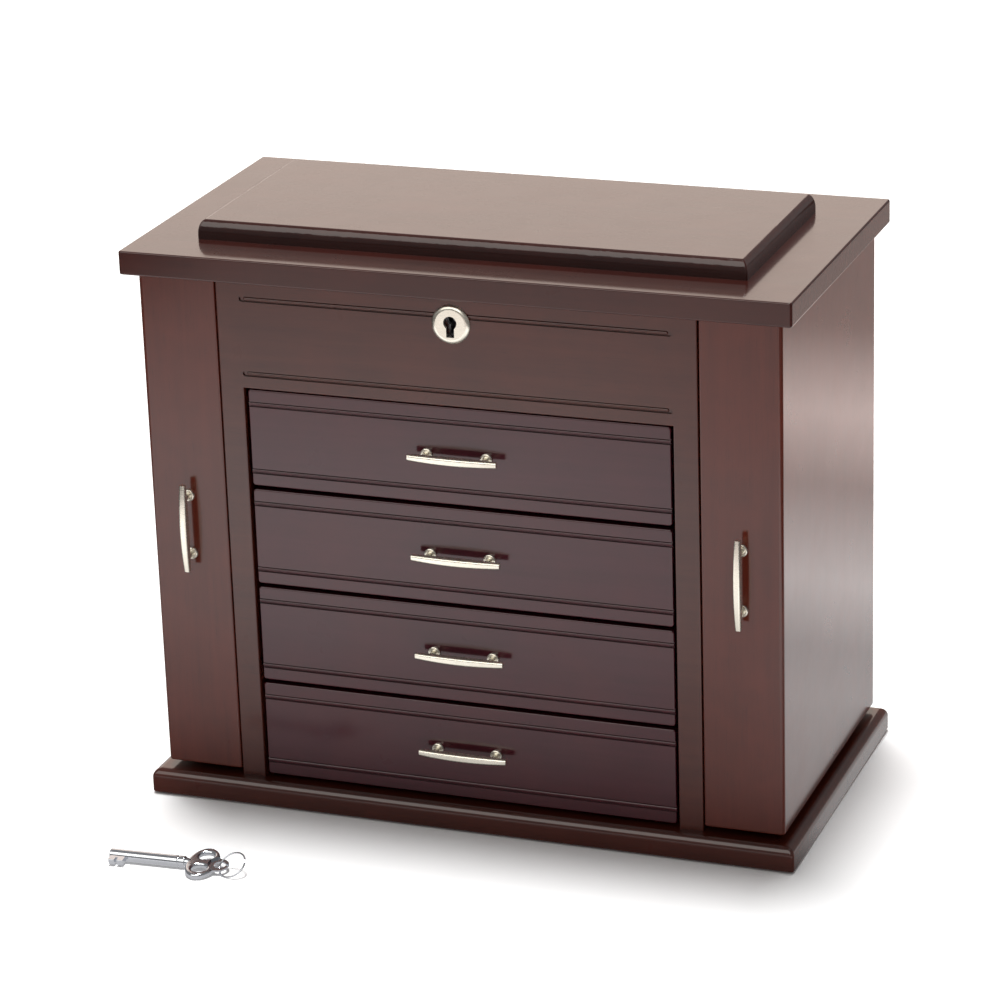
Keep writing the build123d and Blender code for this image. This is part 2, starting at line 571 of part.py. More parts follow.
def wing_panels():
    """The L cut on its mitre into a side panel and a front panel."""
    shell = wing_shell()
    corner, inner = (HALF_BODY, BODY_FRONT), (WING_IN, FRAME_BACK)
    dx, dy = corner[0] - inner[0], corner[1] - inner[1]
    out = (corner[0] + dx, corner[1] + dy)
    height = BODY_TOP - WING_BOTTOM + 2
    past_edge = WING_EDGE - 5
    front_zone = make_face(Polyline(inner, out, (past_edge, out[1]), (past_edge, inner[1]), close=True))
    front_prism = Pos(0, 0, WING_BOTTOM - 1) * extrude(front_zone, height)
    return shell - front_prism, shell & front_prism


def hook(y):
    """Wire hook: a stem set into the rail, an elbow and an upturned tip."""
    face = WING_IN - CLOTH_T - RAIL_T
    elbow_x = face - HOOK_REACH + 4
    stem = rod("X", ((face + HOOK_SEAT + elbow_x) / 2, y, HOOK_Z), face + HOOK_SEAT - elbow_x, HOOK_R)
    elbow = Pos(elbow_x, y, HOOK_Z) * Sphere(HOOK_R)
    rise = Pos(elbow_x, y, HOOK_Z) * Rot(0, -HOOK_LEAN, 0)
    arm = rise * Pos(0, 0, HOOK_ARM / 2) * Cylinder(HOOK_R, HOOK_ARM)
    return stem + elbow + arm + rise * Pos(0, 0, HOOK_ARM) * Sphere(HOOK_R + 0.5)


def pouch():
    """Open-topped pocket at the foot of the wing, against its lining."""
    x1 = WING_IN - CLOTH_T
    x0, wall, hem = x1 - POUCH_DEPTH, POUCH_WALL, POUCH_HEM
    outer = block(x0, x1, *POUCH_Y, *POUCH_Z)
    outer = eased(outer, 4.0, lambda e: e.center().X < x0 + 0.1 and e.center().Z < POUCH_Z[1] - 1)
    hollow = block(x0 + wall, x1 - wall, POUCH_Y[0] + hem, POUCH_Y[1] - hem, POUCH_Z[0] + hem, POUCH_Z[1] + 1)
    return outer - hollow


def wings():
    side_panel, front_panel = wing_panels()
    handle_x = (WING_EDGE + HALF_BODY) / 2
    to_wing = Pos(handle_x, BODY_FRONT, WING_HANDLE_Z) * Rot(90, 0, 0) * Rot(0, 0, 90)
    for offset in (-HANDLE_PITCH / 2, HANDLE_PITCH / 2):
        hole_z = WING_HANDLE_Z + offset
        front_panel = front_panel - rod("Y", (handle_x, BODY_FRONT, hole_z), 3 * PANEL_T, PILOT_R)
    rail_back = WING_IN - CLOTH_T
    rail_face = rail_back - RAIL_T
    rail = block(rail_face, rail_back, *RAIL_Y, HOOK_Z - RAIL_BELOW, HOOK_Z + RAIL_ABOVE)
    rail = eased(rail, 1.6, lambda e: e.center().X < rail_face + 0.1)
    step = (RAIL_Y[1] - RAIL_Y[0]) / HOOK_COUNT
    hook_ys = [RAIL_Y[0] + step * (index + 0.5) for index in range(HOOK_COUNT)]
    for y in hook_ys:
        rail = rail - rod("X", (rail_face, y, HOOK_Z), 2 * HOOK_SEAT, HOOK_R)
    for side in (-1, 1):
        name = f"{side_name(side)}_wing"
        node(f"{name}_side_panel", on_side(side, side_panel))
        node(f"{name}_front_panel", on_side(side, front_panel))
        sheet = block(rail_back, WING_IN, FRAME_BACK + 3, BACK_INNER - 3, WING_BOTTOM + 3, BODY_TOP - 3)
        node(f"{name}_lining", on_side(side, sheet))
        node(f"{name}_hook_rail", on_side(side, rail))
        node(f"{name}_hooks", *[on_side(side, hook(y)) for y in hook_ys])
        node(f"{name}_pouch", on_side(side, pouch()))
        node(f"{name}_handle", *[on_side(side, piece) for piece in pull(to_wing, PANEL_T)])
        plate_x = (WING_EDGE + 1, WING_EDGE + 1 + CATCH_PLATE_W)
        plate_y = (FRAME_BACK, FRAME_BACK + CATCH_PLATE_T)
        plates = [block(*plate_x, *plate_y, z - CATCH_PLATE_HALF, z + CATCH_PLATE_HALF) for z in CATCH_Z]
        node(f"{name}_catch_plates", *[on_side(side, plate) for plate in plates])


# ---------------------------------------------------------------- drawers
def drawer(number):
    z = bottom_z(number)
    y_front = BODY_FRONT + FRONT_RECESS
    y_rear = y_front + FRONT_T
    front = block(-FRONT_HALF, FRONT_HALF, y_front, y_rear, z, z + FRONT_H)
    front = eased(front, 1.6, lambda e: abs(e.tangent_at(0.5).Y) > 0.9)
    front = eased(front, 0.8, lambda e: e.center().Y < y_front + 0.01)
    for flute_z in (z + FLUTE_INSET, z + FRONT_H - FLUTE_INSET):
        front = front - flute(FRONT_HALF + 1, y_front, flute_z, stopped=False)
    middle = z + FRONT_H / 2
    for x in (-HANDLE_PITCH / 2, HANDLE_PITCH / 2):
        front = front - rod("Y", (x, y_front, middle), 3 * FRONT_T, PILOT_R)
    node(f"drawer_{number}_front", front)

    low, high = z + BOX_LIFT, z + BOX_LIFT + BOX_H
    side_in = SIDE_OUT - SIDE_T
    groove_z = runner_z(number)
    side = block(side_in, SIDE_OUT, y_rear, BOX_BACK, low, high)
    side = side - block(SIDE_OUT - SIDE_GROOVE, SIDE_OUT + 1, y_rear + 5, BOX_BACK + 1,
                        groove_z - GROOVE_H / 2, groove_z + GROOVE_H / 2)
    back_inner, floor_top = BOX_BACK - SIDE_T, low + 1 + BOX_FLOOR_T
    back = block(-side_in, side_in, back_inner, BOX_BACK, low, high)
    floor = block(-side_in, side_in, y_rear, back_inner, low + 1, floor_top)
    node(f"drawer_{number}_box", side, mirrored(side), back, floor)

    outer = block(-side_in, side_in, y_rear, back_inner, floor_top, high - 1)
    hollow = block(-side_in + LINING_T, side_in - LINING_T, y_rear + LINING_T, back_inner - LINING_T,
                   floor_top + LINING_T, high)
    lining = outer - hollow
    for x in (-HANDLE_PITCH / 2, HANDLE_PITCH / 2):
        lining = lining - rod("Y", (x, y_rear + 1, middle), 4, HEAD_R + 0.5)
    node(f"drawer_{number}_lining", lining)
    to_front = Pos(0, y_front, middle) * Rot(90, 0, 0)
    node(f"drawer_{number}_handle", *pull(to_front, FRONT_T))



# ---------------------------------------------------------------- key


def key_shape():
    """The key along X from its tip, its bow flat in the XY plane, its bit towards -Y."""
    barrel = Pos(BARREL_LENGTH / 2, 0, 0) * Rot(0, 90, 0) * Cylinder(BARREL_R, BARREL_LENGTH)
    barrel = eased(barrel, 0.5, lambda e: e.center().X < 0.1)
    half = BOW_T / 2
    bit = block(*BIT_X, BIT_Y, -1, -half, half)
    bit = eased(bit, 0.4, lambda e: e.center().Y < BIT_Y + 0.2)
    bit = bit - block(*BIT_NOTCH_X, BIT_Y - 1, BIT_NOTCH_Y, -BOW_T, BOW_T)
    groove = Pos(BARREL_LENGTH - 2.6, 0, 0) * Rot(0, 90, 0) * Torus(BARREL_R + 0.3, 0.6)
    barrel = barrel - groove
    collar = Pos(BARREL_LENGTH, 0, 0) * Rot(0, 90, 0) * Cylinder(BARREL_R, 2.4)
    collar = eased(collar, 0.7)
    neck = Pos(BARREL_LENGTH + 2.2, 0, 0) * Rot(0, 90, 0) * Cone(2.7, 1.7, 3.0)
    main_lobe = Pos(50.2, 0) * Ellipse(8.4, BOW_REACH)
    end_lobe = Pos(EYE - 0.6, 0) * Ellipse(5.2, 5.6)
    bow = extrude(main_lobe + end_lobe, half, both=True)
    for y in (-LOBE_Y, LOBE_Y):
        bow = bow - extrude(Pos(50.4, y) * Ellipse(*LOBE_HOLE), BOW_T, both=True)
    bow = eased(bow, BOW_EASE)
    thin = Pos(EYE, 0, 0) * (Cylinder(EYE_RIM, 2 * BOW_T) - Cylinder(EYE_RIM, EYE_T))
    bow = bow - Pos(EYE, 0, 0) * Cylinder(EYE_R, 2 * BOW_T) - thin
    bore = Pos(7, 0, 0) * Rot(0, 90, 0) * Cylinder(1.4, 16)
    return barrel + bit + collar + neck + bow - bore


def key_place():
    """Lying on the table, rolled until the rim of the bow and the barrel both touch it."""
    roll = math.degrees(math.asin((BARREL_R - BOW_T / 2) / BOW_REACH))
    return Pos(KEY_TIP[0], KEY_TIP[1], BARREL_R + 0.02) * Rot(0, 0, KEY_HEADING) * Rot(roll, 0, 0)


def ring_frame():
    """Eye centre, and the ring's radial and tangent directions there."""
    tilt, rise = math.radians(RING_TILT), math.radians(RING_RISE)
    tangent = Vector(0, math.cos(tilt), math.sin(tilt))
    radial = Vector(math.cos(rise), -math.sin(rise) * math.sin(tilt), math.sin(rise) * math.cos(tilt))
    turn = Rot(0, 0, KEY_HEADING)
    eye = key_place() * Pos(EYE, 0, 0)
    spun = [(turn * Pos(*v)).position for v in (radial, tangent)]
    return eye.position, spun[0], spun[1]


def key():
    node("key", key_place() * key_shape())
    eye, radial, tangent = ring_frame()
    centre = eye + radial * RING_R
    plane = Plane(origin=centre, x_dir=radial, z_dir=radial.cross(tangent))
    node("key_ring", plane * Torus(RING_R, WIRE_R))


# ---------------------------------------------------------------- build
base()
partitions_and_back()
face_frame()
tray()
runners()
wing_bays()
hinges()
lock()
lid()
wings()
for drawer_number in range(1, DRAWER_COUNT + 1):
    drawer(drawer_number)
key()

os.makedirs("parts", exist_ok=True)
for name, shape in SHAPES.items():
    export_step(shape, f"parts/{name}.step")
print(len(SHAPES), "nodes")
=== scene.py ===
"""Looks for the table-top jewelry armoire: lacquer, metal, velvet and mirror, on a pale floor in soft light.

Metres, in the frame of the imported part: +Z up, drawers facing -Y, origin at the middle of the underside.
"""
import json
import math

import bmesh
import bpy
from mathutils import Matrix, Vector, noise


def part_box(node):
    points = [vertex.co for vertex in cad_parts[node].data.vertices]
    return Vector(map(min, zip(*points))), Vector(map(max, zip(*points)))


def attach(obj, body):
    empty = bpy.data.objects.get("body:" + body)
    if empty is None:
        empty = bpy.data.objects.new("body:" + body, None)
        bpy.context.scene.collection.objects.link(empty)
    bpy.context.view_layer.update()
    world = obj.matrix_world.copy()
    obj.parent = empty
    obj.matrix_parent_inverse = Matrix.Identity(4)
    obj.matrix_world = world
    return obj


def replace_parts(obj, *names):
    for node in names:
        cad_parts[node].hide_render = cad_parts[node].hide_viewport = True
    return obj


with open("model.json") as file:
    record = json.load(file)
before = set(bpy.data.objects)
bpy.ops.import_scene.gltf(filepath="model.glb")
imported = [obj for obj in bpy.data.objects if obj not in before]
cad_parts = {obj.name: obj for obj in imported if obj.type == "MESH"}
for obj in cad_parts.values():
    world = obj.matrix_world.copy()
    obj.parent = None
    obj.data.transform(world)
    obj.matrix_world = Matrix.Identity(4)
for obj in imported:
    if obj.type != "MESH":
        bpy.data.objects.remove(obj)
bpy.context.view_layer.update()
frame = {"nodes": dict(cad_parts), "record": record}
NODES = frame["nodes"]
SCENE = bpy.context.scene


# ---------------------------------------------------------------- node helpers
class Graph:
    """A material's node tree, with short calls for the nodes it uses."""

    def __init__(self, name):
        self.material = bpy.data.materials.new(name)
        self.material.use_nodes = True
        self.tree = self.material.node_tree
        self.shader = self.tree.nodes["Principled BSDF"]

    def node(self, kind, **settings):
        made = self.tree.nodes.new(kind)
        for key, value in settings.items():
            setattr(made, key, value)
        return made

    def link(self, source, target):
        self.tree.links.new(source, target)

    def constant(self, **values):
        """Sets fixed values on the shader's own sockets."""
        for key, value in values.items():
            self.shader.inputs[key.replace("_", " ")].default_value = value

    def place(self, scale):
        """Object coordinates, scaled per axis, in features per metre."""
        coordinates = self.node("ShaderNodeTexCoord")
        mapping = self.node("ShaderNodeMapping")
        mapping.inputs["Scale"].default_value = scale
        self.link(coordinates.outputs["Object"], mapping.inputs["Vector"])
        return mapping.outputs["Vector"]

    def noise(self, scale, detail=4.0, roughness=0.55, distortion=0.0):
        texture = self.node("ShaderNodeTexNoise")
        texture.inputs["Scale"].default_value = 1.0
        texture.inputs["Detail"].default_value = detail
        texture.inputs["Roughness"].default_value = roughness
        texture.inputs["Distortion"].default_value = distortion
        self.link(self.place(scale), texture.inputs["Vector"])
        return texture.outputs["Fac"]

    def ramp(self, factor, stops):
        """Colour ramp over (position, colour) stops."""
        ramp = self.node("ShaderNodeValToRGB")
        elements = ramp.color_ramp.elements
        while len(elements) < len(stops):
            elements.new(0.5)
        for element, (position, colour) in zip(elements, stops):
            element.position = position
            element.color = (*colour, 1.0)
        self.link(factor, ramp.inputs["Fac"])
        return ramp.outputs["Color"]

    def remap(self, value, low, high, from_low=0.3, from_high=0.7):
        mapped = self.node("ShaderNodeMapRange")
        mapped.inputs["From Min"].default_value = from_low
        mapped.inputs["From Max"].default_value = from_high
        mapped.inputs["To Min"].default_value = low
        mapped.inputs["To Max"].default_value = high
        self.link(value, mapped.inputs["Value"])
        return mapped.outputs["Result"]

    def mix(self, factor, first, second, blend="MIX"):
        mixer = self.node("ShaderNodeMix", data_type="RGBA", blend_type=blend)
        for socket, value in ((0, factor), (6, first), (7, second)):
            if isinstance(value, bpy.types.NodeSocket):
                self.link(value, mixer.inputs[socket])
            elif isinstance(value, tuple):
                mixer.inputs[socket].default_value = (*value, 1.0)
            else:
                mixer.inputs[socket].default_value = value
        return mixer.outputs[2]

    def bump(self, height, strength, distance, under=None):
        bump = self.node("ShaderNodeBump")
        bump.inputs["Strength"].default_value = strength
        bump.inputs["Distance"].default_value = distance
        self.link(height, bump.inputs["Height"])
        if under is not None:
            self.link(under, bump.inputs["Normal"])
        return bump.outputs["Normal"]


# ---------------------------------------------------------------- materials
GRAIN_ALONG, GRAIN_ACROSS = 7.0, 190.0        # streaks of stain, per metre
PORE_ALONG, PORE_ACROSS = 80.0, 2400.0        # fine open pores
LACQUER_POLISH, LID_POLISH = 0.13, 0.10       # roughness of the clear coat
PORE_COLOUR = (0.010, 0.004, 0.004)


def along_grain(axis, along, across):
    scale = [across, across, across]
    scale["XYZ".index(axis)] = along
    return tuple(scale)


def lacquered_wood(name, axis, deep, body, blush, polish=LACQUER_POLISH):
    """Espresso-mahogany stain with faint grain along one axis under a satin-gloss lacquer."""
    g = Graph(name)
    streaks = g.noise(along_grain(axis, GRAIN_ALONG, GRAIN_ACROSS), detail=4.0, distortion=0.3)
    mottle = g.noise((24.0, 24.0, 24.0), detail=3.0, roughness=0.6)
    pores = g.noise(along_grain(axis, PORE_ALONG, PORE_ACROSS), detail=2.0)
    stain = g.mix(g.remap(streaks, 0.0, 1.0, 0.25, 0.75), deep, body)
    warm = g.mix(g.remap(mottle, 0.0, 0.6, 0.40, 0.75), stain, blush)
    dark = g.mix(g.remap(pores, 0.0, 0.30, 0.60, 0.80), warm, PORE_COLOUR)
    g.link(dark, g.shader.inputs["Base Color"])
    haze = g.noise((45.0, 45.0, 45.0), detail=4.0)
    g.link(g.remap(haze, 0.27, 0.33), g.shader.inputs["Roughness"])
    peel = g.noise((420.0, 420.0, 420.0), detail=1.0)
    fine = g.bump(pores, 0.03, 0.0001)
    g.link(g.bump(peel, 0.02, 0.0002, fine), g.shader.inputs["Normal"])
    g.constant(IOR=1.45, Specular_IOR_Level=0.06, Coat_Weight=1.0, Coat_Roughness=polish, Coat_IOR=1.52)
    return g.material


def stained_wood(name, axis):
    """The same dark stain left matt, for runners and the inside of drawers."""
    g = Graph(name)
    streaks = g.noise(along_grain(axis, 16.0, 420.0), detail=5.0, distortion=0.6)
    pores = g.noise(along_grain(axis, 90.0, 2400.0), detail=2.0)
    tones = [(0.28, (0.030, 0.011, 0.008)), (0.55, (0.062, 0.024, 0.016)), (0.80, (0.095, 0.040, 0.026))]
    stain = g.ramp(streaks, tones)
    dark = g.mix(g.remap(pores, 0.0, 0.6, 0.55, 0.75), stain, (0.014, 0.006, 0.005))
    g.link(dark, g.shader.inputs["Base Color"])
    g.link(g.remap(streaks, 0.50, 0.66), g.shader.inputs["Roughness"])
    g.link(g.bump(pores, 0.25, 0.0002), g.shader.inputs["Normal"])
    return g.material


def plated_metal(name, colour, tint, roughness, brushed=None, wear=0.05):
    """Metal plate with slight tone changes and fine polishing lines."""
    g = Graph(name)
    cloud = g.noise((90.0, 90.0, 90.0), detail=3.0)
    g.link(g.mix(g.remap(cloud, 0.0, 0.8), colour, tint), g.shader.inputs["Base Color"])
    lines = g.noise(brushed or (900.0, 900.0, 900.0), detail=2.0)
    g.link(g.remap(lines, roughness - wear, roughness + wear), g.shader.inputs["Roughness"])
    g.link(g.bump(lines, 0.06, 0.00005), g.shader.inputs["Normal"])
    g.constant(Metallic=1.0)
    return g.material


def velvet(name, colour, shade):
    """Short pile with light and dark patches where it is brushed, and a nap that catches the light."""
    g = Graph(name)
    brushed = g.noise((22.0, 22.0, 22.0), detail=4.0, distortion=0.8)
    pile = g.noise((1500.0, 1500.0, 1500.0), detail=2.0)
    tone = g.mix(g.remap(brushed, 0.0, 0.75), colour, shade)
    g.link(g.mix(g.remap(pile, 0.0, 0.45), tone, shade), g.shader.inputs["Base Color"])
    g.link(g.remap(pile, 0.82, 0.98), g.shader.inputs["Roughness"])
    g.link(g.bump(pile, 0.55, 0.0006), g.shader.inputs["Normal"])
    g.constant(Sheen_Weight=0.6, Sheen_Roughness=0.45, Specular_IOR_Level=0.15)
    return g.material


def satin_cloth(name, colour, shade):
    """Woven satin: fine threads across each other, with a soft gloss."""
    g = Graph(name)
    warp = g.node("ShaderNodeTexWave", wave_type="BANDS", bands_direction="Z")
    weft = g.node("ShaderNodeTexWave", wave_type="BANDS", bands_direction="Y")
    for wave in (warp, weft):
        wave.inputs["Scale"].default_value = 1.0
        wave.inputs["Distortion"].default_value = 0.6
        g.link(g.place((420.0, 420.0, 420.0)), wave.inputs["Vector"])
    weave = g.mix(0.5, warp.outputs["Color"], weft.outputs["Color"])
    fold = g.noise((35.0, 35.0, 35.0), detail=3.0)
    g.link(g.mix(g.remap(fold, 0.0, 0.7), colour, shade), g.shader.inputs["Base Color"])
    g.link(g.remap(fold, 0.34, 0.48), g.shader.inputs["Roughness"])
    g.link(g.bump(weave, 0.25, 0.0002), g.shader.inputs["Normal"])
    g.constant(Sheen_Weight=0.25, Sheen_Roughness=0.3)
    return g.material


def felt(name, colour, shade):
    g = Graph(name)
    fibres = g.noise((700.0, 700.0, 700.0), detail=5.0, distortion=1.5)
    g.link(g.mix(g.remap(fibres, 0.0, 1.0), colour, shade), g.shader.inputs["Base Color"])
    g.link(g.remap(fibres, 0.88, 1.0), g.shader.inputs["Roughness"])
    g.link(g.bump(fibres, 0.7, 0.0006), g.shader.inputs["Normal"])
    g.constant(Sheen_Weight=0.3, Specular_IOR_Level=0.1)
    return g.material


def moulded_plastic(name, colour, shade):
    g = Graph(name)
    grain = g.noise((1800.0, 1800.0, 1800.0), detail=2.0)
    g.link(g.mix(g.remap(grain, 0.0, 0.5), colour, shade), g.shader.inputs["Base Color"])
    g.link(g.remap(grain, 0.42, 0.52), g.shader.inputs["Roughness"])
    g.link(g.bump(grain, 0.12, 0.0001), g.shader.inputs["Normal"])
    return g.material


def mirror_glass(name):
    """Silvered glass with the faint haze of handling."""
    g = Graph(name)
    haze = g.noise((40.0, 40.0, 40.0), detail=5.0, distortion=0.5)
    silver = g.mix(g.remap(haze, 0.0, 0.4), (0.90, 0.92, 0.91), (0.86, 0.88, 0.87))
    g.link(silver, g.shader.inputs["Base Color"])
    g.link(g.remap(haze, 0.012, 0.035), g.shader.inputs["Roughness"])
    g.constant(Metallic=1.0)
    return g.material


# Stains: in the dark streaks, between them, and where the wood took more colour.
# The lid's copy below is darker than the other stains: painted shade on the lid.
LID_SHADED_STAIN = ((0.040, 0.007, 0.005), (0.054, 0.009, 0.006), (0.068, 0.011, 0.006))
BROWN = ((0.054, 0.010, 0.006), (0.074, 0.015, 0.008), (0.092, 0.016, 0.008))
PLUM = ((0.048, 0.007, 0.012), (0.060, 0.009, 0.016), (0.074, 0.010, 0.013))
# The wings' copy below is lighter and redder than the other stains: painted light on the side and front
# panels.
WING_LIT_STAIN = ((0.075, 0.011, 0.005), (0.098, 0.015, 0.007), (0.125, 0.018, 0.008))
PULL_BRUSHING = (300.0, 2600.0, 2600.0)       # polishing lines along the pulls, per metre
MATERIALS = {
    "plum_x": lacquered_wood("lacquer_plum", "X", *PLUM),
    "brown_x": lacquered_wood("lacquer_brown", "X", *BROWN),
    "brown_y": lacquered_wood("lacquer_brown_cross", "Y", *BROWN),
    "dark_x": lacquered_wood("lacquer_dark", "X", *LID_SHADED_STAIN, polish=LID_POLISH),
    "brown_z": lacquered_wood("lacquer_brown_upright", "Z", *BROWN),
    "wing_lit_z": lacquered_wood("lacquer_wing_lit", "Z", *WING_LIT_STAIN),
    "drawer_wood": stained_wood("drawer_stain", "Y"),
    "nickel": plated_metal("satin_nickel", (0.86, 0.82, 0.72), (0.78, 0.74, 0.64), 0.27, PULL_BRUSHING),
    "catch_steel": plated_metal("zinc_steel", (0.56, 0.57, 0.60), (0.44, 0.46, 0.48), 0.38),
    "hinge_brass": plated_metal("antique_brass", (0.52, 0.38, 0.18), (0.30, 0.20, 0.09), 0.36, wear=0.08),
    "key_chrome": plated_metal("key_chrome", (0.64, 0.66, 0.70), (0.52, 0.54, 0.58), 0.11, wear=0.04),
    "velvet": velvet("cream_velvet", (0.70, 0.61, 0.47), (0.52, 0.43, 0.31)),
    "satin_cloth": satin_cloth("cream_satin", (0.74, 0.66, 0.52), (0.60, 0.51, 0.38)),
    "felt": felt("black_felt", (0.030, 0.027, 0.026), (0.012, 0.011, 0.011)),
    "catch_plastic": moulded_plastic("catch_plastic", (0.030, 0.018, 0.015), (0.020, 0.012, 0.010)),
    "mirror": mirror_glass("silvered_mirror"),
}


def wood_finish(name):
    """Each part gets a copy of the one lacquer: a cooler plum on the drawer fronts, a lighter and redder copy
    on the wings that paints brighter light on them, and a darker copy on the lid that paints shade on it.
    """
    if name.startswith("drawer_"):
        return "plum_x"
    if name.startswith("lid_"):
        return "dark_x"
    if name.endswith(("side_panel", "front_panel")):
        return "wing_lit_z"
    if name.endswith(("partition", "back_panel")):
        return "brown_z"
    return "brown_y" if name.endswith("hook_rail") else "brown_x"


def dress_cad_nodes():
    slots = {part["node"]: part["material_slot"] for part in frame["record"]["subparts"]}
    for name, node in NODES.items():
        slot = slots[name]
        key = wood_finish(name) if slot == "espresso_lacquer" else slot
        node.data.materials.clear()
        node.data.materials.append(MATERIALS[key])


# ---------------------------------------------------------------- soft goods
MM = 0.001
SLAB_CELL = 8 * MM                            # mesh size of padded slabs
NAP_UNEVEN = 0.12 * MM
SHEET_ROLL = 0.4 * MM                         # rounding of thin velvet cards
CARD_T, DRAWER_PAD_T, TRAY_PAD_T = 1.2 * MM, 1.7 * MM, 1.3 * MM
EDGE_SHARE = 0.45                             # rounding of cards and pads, as a share of their thickness
PAD_CROWN, BAY_CROWN, WING_CROWN = 0.7 * MM, 0.15 * MM, 0.2 * MM
LINING_SLACK = 0.05 * MM
FELT_ROLL, FELT_UNEVEN = 0.3 * MM, 0.05 * MM


def steps(low, high, radius, cell):
    """Grid lines along one side of a slab, closer together over the rolled edges."""
    roll = [radius * (1.0 - math.cos(math.radians(angle))) for angle in (0.0, 30.0, 60.0)]
    flat = high - low - 2.0 * radius
    count = max(2, round(flat / cell))
    middle = [low + radius + flat * index / count for index in range(count + 1)]
    return [low + r for r in roll] + middle + [high - r for r in reversed(roll)]


def add_slab(bm, low, high, radius, crown=(), cell=SLAB_CELL, uneven=NAP_UNEVEN):
    """A padded slab with rolled edges. Each crown is (axis, side, height) and swells one face."""
    low, high = Vector(low), Vector(high)
    lines = [steps(low[a], high[a], radius, cell) for a in range(3)]
    last = [len(line) - 1 for line in lines]
    inner_low, inner_high = low + Vector([radius] * 3), high - Vector([radius] * 3)
    made = {}

    def vertex(place):
        if place not in made:
            point = Vector([lines[a][place[a]] for a in range(3)])
            core = Vector([min(max(point[a], inner_low[a]), inner_high[a]) for a in range(3)])
            point = core + (point - core).normalized() * radius
            along = [2.0 * (point[a] - low[a]) / (high[a] - low[a]) - 1.0 for a in range(3)]
            for axis, side, height in crown:
                if place[axis] == (last[axis] if side > 0 else 0):
                    swell = [1.0 - along[a] ** 4 for a in range(3) if a != axis]
                    point[axis] += side * height * swell[0] * swell[1]
            made[place] = bm.verts.new(point + noise.noise_vector(point * 90.0) * uneven)
        return made[place]

    for axis in range(3):
        u, v = [a for a in range(3) if a != axis]
        for end in (0, last[axis]):
            for i in range(last[u]):
                for j in range(last[v]):
                    corners = []
                    for di, dj in ((0, 0), (1, 0), (1, 1), (0, 1)):
                        place = [0, 0, 0]
                        place[axis], place[u], place[v] = end, i + di, j + dj
                        corners.append(vertex(tuple(place)))
                    bm.faces.new(corners if end else corners[::-1])


def soft_piece(name, bm, body, slot, *nodes):
    """Turns the mesh into an object that rides on a body, in place of the named CAD nodes."""
    bmesh.ops.recalc_face_normals(bm, faces=bm.faces)
    mesh = bpy.data.meshes.new(name)
    bm.to_mesh(mesh)
    bm.free()
    mesh.materials.append(MATERIALS[slot])
    for polygon in mesh.polygons:
        polygon.use_smooth = True
    piece = bpy.data.objects.new(name, mesh)
    SCENE.collection.objects.link(piece)
    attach(piece, body)
    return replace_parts(piece, *nodes) if nodes else piece


def slabs(name, body, slot, node, *several):
    bm = bmesh.new()
    for slab in several:
        add_slab(bm, **slab)
    return soft_piece(name, bm, body, slot, node)


def lined_box(name, body, node, card, pad):
    """Velvet-wrapped cards round the four sides and a crowned pad on the floor, inside the node's box."""
    low, high = (v.copy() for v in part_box(node))
    low, high = low + Vector([LINING_SLACK] * 3), high - Vector([LINING_SLACK] * 3)
    sides = []
    for axis in (0, 1):
        for end in (0, 1):
            a, b = low.copy(), high.copy()
            if end:
                a[axis] = b[axis] - card
            else:
                b[axis] = a[axis] + card
            sides.append(dict(low=a, high=b, radius=EDGE_SHARE * card))
    top = (high.x, high.y, low.z + pad)
    floor = dict(low=low, high=top, radius=EDGE_SHARE * pad, crown=[(2, 1, PAD_CROWN)])
    return slabs(name, body, "velvet", node, floor, *sides)


DIVIDER_HALF, DIVIDER_ROUND = 1.3 * MM, 1.15 * MM
DIVIDER_LEFT, DIVIDER_RIGHT = -34.0 * MM, 42.0 * MM
DIVIDERS_MIDDLE = (-20.0 * MM, 30.0 * MM)     # across the middle column
DIVIDER_END = 6.0 * MM                        # across the right-hand column


def tray_dividers():
    """Each stiff card is wrapped in velvet, so its edges are round."""
    low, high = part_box("tray_dividers")
    half, left, right = DIVIDER_HALF, DIVIDER_LEFT, DIVIDER_RIGHT
    cards = [((x - half, low.y), (x + half, high.y)) for x in (left, right)]
    cards += [((left + half, y - half), (right - half, y + half)) for y in DIVIDERS_MIDDLE]
    cards.append(((right + half, DIVIDER_END - half), (high.x, DIVIDER_END + half)))
    several = [dict(low=(*a, low.z), high=(*b, high.z), radius=DIVIDER_ROUND) for a, b in cards]
    return slabs("tray_dividers_wrapped", "carcass", "velvet", "tray_dividers", *several)


FILL_PRESSURE, FILL_SWELL, FILL_FRAMES = 3.0, 0.3 * MM, 20
COVER_TENSION = 8.0


def inflate(piece):
    """Fills the cover by cloth simulation, and holds each point close to where it was cut."""
    cloth = piece.modifiers.new("cloth", "CLOTH")
    cloth.settings.use_pressure = True
    cloth.settings.uniform_pressure_force = FILL_PRESSURE
    cloth.settings.effector_weights.gravity = 0.0
    cloth.settings.tension_stiffness = COVER_TENSION
    cloth.point_cache.frame_end = FILL_FRAMES
    for frame_number in range(1, FILL_FRAMES + 1):
        SCENE.frame_set(frame_number)
    filled = piece.evaluated_get(bpy.context.evaluated_depsgraph_get()).to_mesh()
    swollen = [v.co.copy() for v in filled.vertices]
    piece.modifiers.remove(cloth)
    SCENE.frame_set(1)
    for vertex, target in zip(piece.data.vertices, swollen):
        move = target - vertex.co
        vertex.co += move * min(1.0, FILL_SWELL / max(move.length, 1e-9))


ROLL_COUNT, ROLL_SEGMENTS, ROLL_RINGS = 12, 20, 26
ROLL_RADIUS, ROLL_SINK = 5.45 * MM, 0.3 * MM
ROLL_MARGIN = 5.85 * MM                       # tray edge to the middle of the first roll
ROLL_END_GAP, ROLL_TUCK, ROLL_TIP = 0.4 * MM, 2.6 * MM, 0.05 * MM
ROLL_END_CURVE = 2.4


